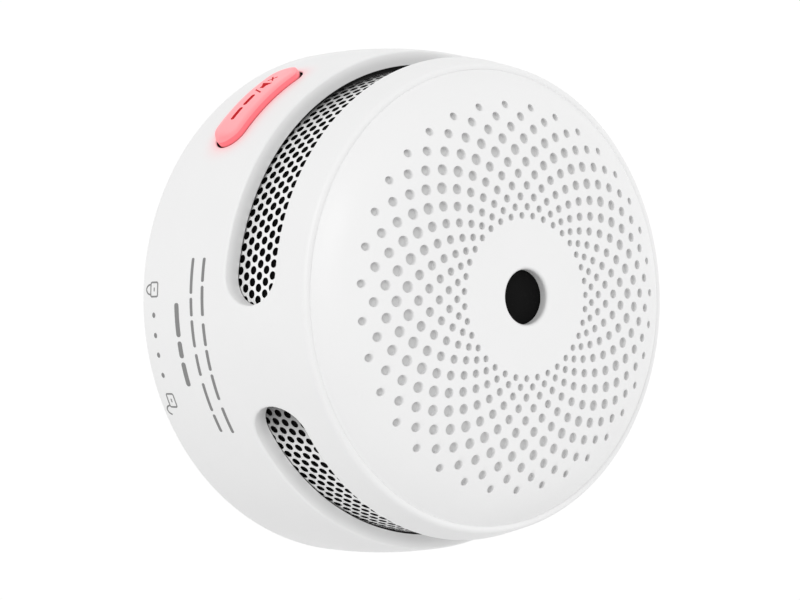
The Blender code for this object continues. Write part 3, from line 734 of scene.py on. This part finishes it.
class Tree:
    """A shader node tree under construction."""

    def __init__(self, owner):
        owner.use_nodes = True
        self.nodes = owner.node_tree.nodes
        self.links = owner.node_tree.links

    def feed(self, socket, value):
        if isinstance(value, (int, float)):
            socket.default_value = value
        elif isinstance(value, (tuple, Vector)):
            socket.default_value = (*value, 1.0)[: len(socket.default_value)]
        else:
            self.links.new(value, socket)

    def math(self, operation, first, second=0.0, third=0.0, clamp=False):
        node = self.nodes.new("ShaderNodeMath")
        node.operation = operation
        node.use_clamp = clamp
        for socket, value in zip(node.inputs, (first, second, third)):
            self.feed(socket, value)
        return node.outputs[0]

    def dot(self, first, second):
        node = self.nodes.new("ShaderNodeVectorMath")
        node.operation = "DOT_PRODUCT"
        self.feed(node.inputs[0], first)
        self.feed(node.inputs[1], second)
        return node.outputs["Value"]

    def ramp(self, value, low, high, smooth=True):
        """0 below low, 1 above high. With low above high it falls instead."""
        node = self.nodes.new("ShaderNodeMapRange")
        node.interpolation_type = "SMOOTHSTEP" if smooth else "LINEAR"
        self.feed(node.inputs["Value"], value)
        node.inputs["From Min"].default_value = min(low, high)
        node.inputs["From Max"].default_value = max(low, high)
        if low > high:
            node.inputs["To Min"].default_value = 1.0
            node.inputs["To Max"].default_value = 0.0
        return node.outputs[0]

    def all_of(self, *factors):
        """Product of several factors between 0 and 1."""
        product = factors[0]
        for factor in factors[1:]:
            product = self.math("MULTIPLY", product, factor)
        return product

    def scaled(self, value, times):
        return self.math("MULTIPLY", value, times)

    def mix(self, factor, first, second):
        node = self.nodes.new("ShaderNodeMix")
        node.data_type = "RGBA"
        self.feed(node.inputs["Factor"], factor)
        for name, value in (("A", first), ("B", second)):
            self.feed(next(i for i in node.inputs if i.name == name and i.type == "RGBA"), value)
        return next(o for o in node.outputs if o.type == "RGBA")


class Look(Tree):
    """A procedural material under construction."""

    def __init__(self, name):
        self.material = bpy.data.materials.new(name)
        super().__init__(self.material)
        self.shader = self.nodes["Principled BSDF"]
        self.where = self.nodes.new("ShaderNodeTexCoord").outputs["Object"]

    def set(self, **values):
        for name, value in values.items():
            self.shader.inputs[name.replace("_", " ")].default_value = value
        return self

    def to(self, value, name):
        self.feed(self.shader.inputs[name], value)

    def fed(self, name):
        """What already drives one of the shader's sockets."""
        return self.shader.inputs[name].links[0].from_socket

    def split(self):
        node = self.nodes.new("ShaderNodeSeparateXYZ")
        self.links.new(self.where, node.inputs[0])
        return node.outputs

    def from_axis(self, middle=(0.0, 0.0)):
        """Distance from an axis square to the wall plane, and height above the plane, in millimetres."""
        x, y, z = self.split()
        aside = self.math("SUBTRACT", x, middle[0] * MM)
        up = self.math("SUBTRACT", z, middle[1] * MM)
        square = self.math("ADD", self.math("MULTIPLY", aside, aside), self.math("MULTIPLY", up, up))
        radius = self.math("MULTIPLY", self.math("SQRT", square), 1 / MM)
        return radius, self.math("MULTIPLY", y, -1 / MM)

    def round_wall(self):
        """Angle round the drum, height above the wall plane and lift off the drum's wall."""
        x, _, z = self.split()
        radius, height = self.from_axis()
        narrowing = self.math("MULTIPLY_ADD", height, WALL_CURVE, WALL_TAPER)
        wall = self.math("SUBTRACT", BACK_RADIUS, self.math("MULTIPLY", narrowing, height))
        return self.math("ARCTAN2", z, x), height, self.math("SUBTRACT", radius, wall)

    def past_cone(self, radius, height, cone_radius):
        """How far a point lies outside a cone with the band's taper."""
        cone = self.math("MULTIPLY_ADD", height, -BAND_TAPER, cone_radius + BAND_TAPER * INLET_LOW)
        return self.math("SUBTRACT", radius, cone)

    def noise(self, size, detail=3.0, stretch=None):
        """Noise between 0 and 1 whose grains are about size millimetres."""
        node = self.nodes.new("ShaderNodeTexNoise")
        node.inputs["Scale"].default_value = 1 / (size * MM)
        node.inputs["Detail"].default_value = detail
        source = self.where
        if stretch:
            mapping = self.nodes.new("ShaderNodeMapping")
            mapping.inputs["Scale"].default_value = stretch
            self.links.new(source, mapping.inputs["Vector"])
            source = mapping.outputs[0]
        self.links.new(source, node.inputs["Vector"])
        return node.outputs[0]

    def between(self, factor, low, high):
        """Noise spread from low to high. Most of a noise lies between 0.3 and 0.7."""
        node = self.nodes.new("ShaderNodeMapRange")
        self.links.new(factor, node.inputs["Value"])
        node.inputs["From Min"].default_value = 0.3
        node.inputs["From Max"].default_value = 0.7
        node.inputs["To Min"].default_value = low
        node.inputs["To Max"].default_value = high
        return node.outputs[0]

    def bump(self, height, depth):
        """Relief whose full depth is so many millimetres."""
        node = self.nodes.new("ShaderNodeBump")
        node.inputs["Strength"].default_value = 1.0
        node.inputs["Distance"].default_value = depth * MM
        self.links.new(height, node.inputs["Height"])
        self.links.new(node.outputs[0], self.shader.inputs["Normal"])


LOOKS = {}


def look(make):
    """Makes each material once."""

    def made():
        if make.__name__ not in LOOKS:
            LOOKS[make.__name__] = make().material
        return LOOKS[make.__name__]

    return made


def moulded(name, colour, roughness, spread=0.06, tint=0.03, grain=0.35, depth=0.004):
    """Moulded plastic: faint cloudiness, uneven gloss and a fine spark-eroded grain."""
    made = Look(name)
    cloud = made.noise(14.0, 2.0)
    darker = tuple(value * (1 - tint) for value in colour)
    made.to(made.mix(made.between(cloud, 0.0, 1.0), darker, colour), "Base Color")
    made.to(made.between(made.noise(6.0), roughness - spread, roughness + spread), "Roughness")
    made.bump(made.noise(grain, 2.0), depth)
    return made


def painted_glow(made, angle, height, lift):
    """How strongly the lit button's light is painted as a red glow on the wall round it."""
    aside = made.math("ABSOLUTE", made.math("SUBTRACT", angle, math.radians(BUTTON_ANGLE)))
    radius = wall_radius(BUTTON_MIDDLE)
    half = (BUTTON_HIGH - BUTTON_LOW) / 2
    straight = math.radians(BUTTON_ARC / 2) - half / radius
    past = made.math("MAXIMUM", made.math("SUBTRACT", aside, straight), 0.0)
    along = made.scaled(past, radius)
    across = made.math("SUBTRACT", height, BUTTON_MIDDLE)
    square = made.math("ADD", made.math("MULTIPLY", along, along), made.math("MULTIPLY", across, across))
    gap = made.math("SUBTRACT", made.math("SQRT", square), half)
    fade = made.math("MULTIPLY_ADD", gap, -1 / HALO_REACH, 1.0, clamp=True)
    return made.all_of(made.math("POWER", fade, 3.6), made.ramp(lift, -0.3, -0.05))


def dimple_shade(made, radius, height):
    """How deep below the face's surface a point of a dimple lies, from 0 to 1."""
    share = made.scaled(radius, 1 / FACE_RADIUS)
    surface = FACE_TOP
    for power, weight in FACE_DROP:
        surface = made.math("MULTIPLY_ADD", made.math("POWER", share, power), -weight, surface)
    sunk = made.math("MULTIPLY", made.math("SUBTRACT", surface, height), 1 / DIMPLE_DEPTH, clamp=True)
    return made.all_of(sunk, made.ramp(radius, 40.5, 40.0), made.ramp(height, 39.0, 40.0))


def painted_inside_shade(made, radius, height, lift):
    """1 on the shell's inner surfaces, behind the band and behind the wall, where black is painted as
    shade.
    """
    past_seat = made.ramp(made.past_cone(radius, height, SEAT_RADIUS), 0.08, 0.03)
    behind = made.all_of(past_seat, made.ramp(height, 23.8, 23.85), made.ramp(height, 36.45, 36.4))
    within = made.all_of(
        made.ramp(height, 1.4, 1.6),
        made.ramp(height, 23.95, 23.9),
        made.ramp(lift, -0.2, -0.4),
    )
    return made.math("MAXIMUM", behind, within)


@look
def white_plastic():
    """The shell's plastic: a painted red glow round the lit button, painted shade in its dimples and
    recesses, black painted on the unlit inside.
    """
    made = moulded("white_plastic", (0.9, 0.9, 0.9), 0.42, tint=0.012)
    angle, height, lift = made.round_wall()
    radius, _ = made.from_axis()
    # Painted light: the lit button's red glow on the wall, mixed into the base colour and given off below
    glow = painted_glow(made, angle, height, lift)
    colour = made.mix(made.scaled(glow, 0.48), made.fed("Base Color"), (0.95, 0.42, 0.45))
    # Painted shade: black mixed into the dimples, deepest at their floors
    cavity = made.scaled(dimple_shade(made, radius, height), DIMPLE_PAINTED_SHADE)
    colour = made.mix(cavity, colour, (0.0, 0.0, 0.0))
    # Painted shade: black mixed in deep in the inlets' recesses
    deep = made.all_of(
        made.ramp(lift, -0.2, -2.0),
        made.ramp(height, 23.0, 23.9),
        made.ramp(height, 38.0, 37.0),
    )
    colour = made.mix(made.scaled(deep, RECESS_PAINTED_SHADE), colour, (0.0, 0.0, 0.0))
    # Painted shade: the unlit inside of the shell is painted black, with less gloss
    dark = painted_inside_shade(made, radius, height, lift)
    made.to(made.mix(dark, colour, BLACK), "Base Color")
    made.to(made.math("MULTIPLY_ADD", dark, -0.45, 0.5), "Specular IOR Level")
    # Painted glow: the wall round the button gives off red light
    made.set(Emission_Color=(1.0, 0.25, 0.3, 1.0))
    made.to(made.scaled(glow, 0.1), "Emission Strength")
    return made


@look
def lit_red():
    """Translucent red lit from behind, with the lamp's light painted into the base colour: paler on top,
    deeper down the sides and round the edge, near black where hidden behind the wall.
    """
    made = Look("lit_red")
    angle, height, lift = made.round_wall()
    turned = made.math("SUBTRACT", angle, math.radians(BUTTON_ANGLE))
    signed = made.scaled(turned, 1 / math.radians(BUTTON_ARC / 2))
    along = made.math("ABSOLUTE", signed)
    across = made.math("ABSOLUTE", made.math("SUBTRACT", height, BUTTON_MIDDLE))
    across = made.scaled(across, 2 / (BUTTON_HIGH - BUTTON_LOW))
    far = made.math("MAXIMUM", made.math("POWER", along, 4.0), made.math("POWER", across, 4.0))
    cloud = made.between(made.noise(5.0), 0.0, 0.12)
    # Painted light: paler in the middle, where the lamp behind shines through most, darker towards one end
    lamp = made.math("SUBTRACT", made.math("SUBTRACT", 1.0, far), cloud, clamp=True)
    crown = made.mix(lamp, (0.8, 0.24, 0.26), (0.8, 0.31, 0.33))
    crown = made.mix(made.ramp(signed, 0.72, 0.98), crown, (0.8, 0.17, 0.19))
    # Painted shade: deeper red round the crown's edge and down the sides
    border = made.ramp(lift, BUTTON_RIM - 0.02, BUTTON_PROUD - 0.02)
    edged = made.mix(border, (0.8, 0.21, 0.23), crown)
    top = made.ramp(lift, BUTTON_RIM - 0.12, BUTTON_RIM - 0.02)
    red = made.mix(top, (0.8, 0.15, 0.175), edged)
    # Painted shade: the flange hidden behind the wall is near black
    shown = made.ramp(lift, -0.25, 0.05)
    made.to(made.mix(shown, (0.01, 0.0, 0.0), red), "Base Color")
    made.to(made.mix(top, (1.0, 0.13, 0.16), (1.0, 0.25, 0.27)), "Emission Color")
    made.to(made.scaled(made.ramp(lift, 0.0, 0.3, smooth=False), 0.36), "Emission Strength")
    made.to(made.between(made.noise(3.0), 0.3, 0.4), "Roughness")
    return made


def band_shade(made, height):
    """Dark reflections on the band: near the top of the drum, and at the lower inlet's upper end."""
    x, _, z = made.split()
    up = made.scaled(z, 1 / (BAND_RADIUS * MM))
    top = made.all_of(made.ramp(up, 0.62, 0.98), made.ramp(height, 32.0, 25.0))
    angle = made.math("ARCTAN2", z, x)
    start = math.radians(INLET_FIRST + 360 / INLETS - 360)
    end = made.all_of(
        made.ramp(angle, start + 0.24, start + 0.02),
        made.ramp(angle, start - 0.3, start - 0.1),
    )
    return made.scaled(top, 0.85), made.scaled(end, 0.8)


@look
def bright_steel():
    """Polished perforated sheet with faint rolling streaks, painted dark reflections, and black painted as
    shade in its holes and behind.
    """
    made = Look("bright_steel")
    streak = made.noise(0.6, 4.0, stretch=(0.15, 1.0, 0.15))
    colour = made.mix(made.between(streak, 0.0, 1.0), (0.93, 0.93, 0.93), (0.98, 0.98, 0.98))
    radius, height = made.from_axis(BAND_SHIFT)
    # Painted reflections: dark patches near the top and at the lower inlet's upper end
    for shade in band_shade(made, height):
        colour = made.mix(shade, colour, (0.02, 0.02, 0.02))
    # Painted shade: the hole walls and the back of the sheet are black and not metallic
    front = made.ramp(made.past_cone(radius, height, BAND_RADIUS), -0.03, -0.012)
    made.to(made.mix(front, BLACK, colour), "Base Color")
    made.to(made.scaled(front, 0.6), "Metallic")
    made.to(made.scaled(front, 0.5), "Specular IOR Level")
    made.to(made.between(streak, 0.14, 0.24), "Roughness")
    made.bump(streak, 0.003)
    return made


# Black for the cloth in the sound hole and for the sheet of painted shade inside the band
@look
def black_cloth_and_shade():
    made = moulded("black_cloth_and_shade", (0.006, 0.006, 0.006), 0.9, tint=0.5, grain=0.25, depth=0.05)
    return made.set(Specular_IOR_Level=0.1)


@look
def black_plastic():
    made = moulded("black_plastic", (0.008, 0.008, 0.008), 0.5, tint=0.3)
    return made.set(Specular_IOR_Level=0.2)


@look
def dark_foam():
    made = moulded("dark_foam", (0.006, 0.006, 0.006), 0.9, tint=0.5, grain=0.4, depth=0.15)
    return made.set(Specular_IOR_Level=0.1)


@look
def fibreglass():
    return moulded("fibreglass", (0.02, 0.16, 0.07), 0.35, tint=0.25, grain=0.5, depth=0.01)


@look
def grey_ink():
    return moulded("grey_ink", (0.25, 0.25, 0.25), 0.6, tint=0.12, grain=0.12, depth=0.002)


@look
def red_ink():
    made = moulded("red_ink", (0.5, 0.002, 0.006), 0.6, tint=0.2, grain=0.12, depth=0.002)
    # Painted glow: the ink gives off light, standing in for the button's lamp shining through it
    made.set(Emission_Color=(1.0, 0.01, 0.02, 1.0), Emission_Strength=0.12)
    return made.set(Specular_IOR_Level=0.1)


@look
def pale_floor():
    return moulded("pale_floor", (0.85, 0.85, 0.85), 0.7, tint=0.02, grain=1.0, depth=0.01)


def metal(name, colour, roughness, size=0.8):
    made = Look(name).set(Metallic=1.0)
    stain = made.noise(size, 4.0)
    darker = tuple(value * 0.85 for value in colour)
    made.to(made.mix(made.between(stain, 0.0, 1.0), darker, colour), "Base Color")
    made.to(made.between(stain, roughness - 0.06, roughness + 0.08), "Roughness")
    made.bump(stain, 0.004)
    return made


def clear(name, colour):
    made = moulded(name, colour, 0.12, spread=0.04, grain=1.2, depth=0.002)
    return made.set(Transmission_Weight=0.8, IOR=1.5)


def slot_looks():
    """One material for each of the record's slots that the CAD's own nodes use."""
    return {
        "white_plastic": white_plastic(),
        "black_plastic": black_plastic(),
        "grey_plastic": moulded("grey_plastic", (0.28, 0.29, 0.3), 0.45).material,
        "lit_red": lit_red(),
        "perforated_steel": bright_steel(),
        "zinc_steel": metal("zinc_steel", (0.7, 0.7, 0.72), 0.3).material,
        "capacitor_can": metal("capacitor_can", (0.62, 0.63, 0.66), 0.25).material,
        "cell_sleeve": moulded("cell_sleeve", (0.06, 0.16, 0.42), 0.3, tint=0.1).material,
        "fibreglass": fibreglass(),
        "cream_nylon": moulded("cream_nylon", (0.8, 0.76, 0.64), 0.4).material,
        "clear_resin": clear("clear_resin", (0.9, 0.9, 0.92)).material,
        "copper": metal("copper", (0.72, 0.3, 0.16), 0.3, 0.3).material,
        "brass": metal("brass", (0.78, 0.6, 0.3), 0.26).material,
        "white_ceramic": moulded("white_ceramic", (0.82, 0.8, 0.75), 0.3, grain=0.2).material,
        "dark_foam": dark_foam(),
        "red_wire": moulded("red_wire", (0.5, 0.02, 0.02), 0.35, tint=0.15).material,
        "black_wire": moulded("black_wire", (0.02, 0.02, 0.02), 0.35, tint=0.3).material,
    }


def dress_nodes():
    looks = slot_looks()
    for row in frame["record"]["subparts"]:
        node = frame["nodes"][row["node"]]
        node.data.materials.clear()
        node.data.materials.append(looks[row["material_slot"]])


def room():
    """Pale room, brightest level with the alarm, with a plain white wall behind it."""
    surroundings = bpy.data.worlds.new("white_room")
    bpy.context.scene.world = surroundings
    made = Tree(surroundings)
    where = made.nodes.new("ShaderNodeTexCoord").outputs["Generated"]
    light = LEVEL_LIGHT
    for direction, change in LIGHT_CHANGES:
        part = made.math("MAXIMUM", made.dot(where, direction), 0.0)
        light = made.math("MULTIPLY_ADD", part, change, light)
    near, far = (math.cos(math.radians(angle)) for angle in BACKDROP)
    behind = made.ramp(made.dot(where, AHEAD), far, near)
    colour = made.mix(behind, light, (BACKDROP_LIGHT,) * 3)
    made.links.new(colour, made.nodes["Background"].inputs["Color"])


def soft_light(name, place, size, watts):
    """Round lamp facing the alarm, out of the camera's sight."""
    light = bpy.data.lights.new(name, "AREA")
    light.shape = "DISK"
    light.size = size
    light.energy = watts
    made = bpy.data.objects.new(name, light)
    bpy.context.scene.collection.objects.link(made)
    made.location = place
    made.rotation_mode = "QUATERNION"
    made.rotation_quaternion = (-Vector(place)).to_track_quat("-Z", "Y")
    made.visible_camera = False


def floor():
    data = bmesh.new()
    bmesh.ops.create_circle(data, cap_ends=True, segments=96, radius=FLOOR_RADIUS)
    mesh = bpy.data.meshes.new("floor")
    data.to_mesh(mesh)
    data.free()
    mesh.materials.append(pale_floor())
    made = bpy.data.objects.new("floor", mesh)
    bpy.context.scene.collection.objects.link(made)
    made.location = (0, 0, FLOOR_HEIGHT)


def camera():
    lens = bpy.data.cameras.new("camera")
    lens.lens = FOCAL_LENGTH
    lens.sensor_width = 36
    made = bpy.data.objects.new("camera", lens)
    bpy.context.scene.collection.objects.link(made)
    ahead = Vector(AHEAD).normalized()
    right = ahead.cross(Vector(UPWARDS)).normalized()
    up = right.cross(ahead)
    turn = Matrix((right, up, -ahead)).transposed().to_4x4()
    made.matrix_world = Matrix.Translation(CAMERA_PLACE) @ turn
    bpy.context.scene.camera = made


outer_shell()
front_cover()
sound_cloth()
inlet_grille()
inlet_painted_shade()
test_button()
wall_marks()
button_marks()
dress_nodes()
room()
soft_light("key", LAMP_PLACE, LAMP_SIZE, LAMP_WATTS)
floor()
camera()
bpy.context.scene.view_settings.view_transform = "Standard"

bpy.context.view_layer.update()
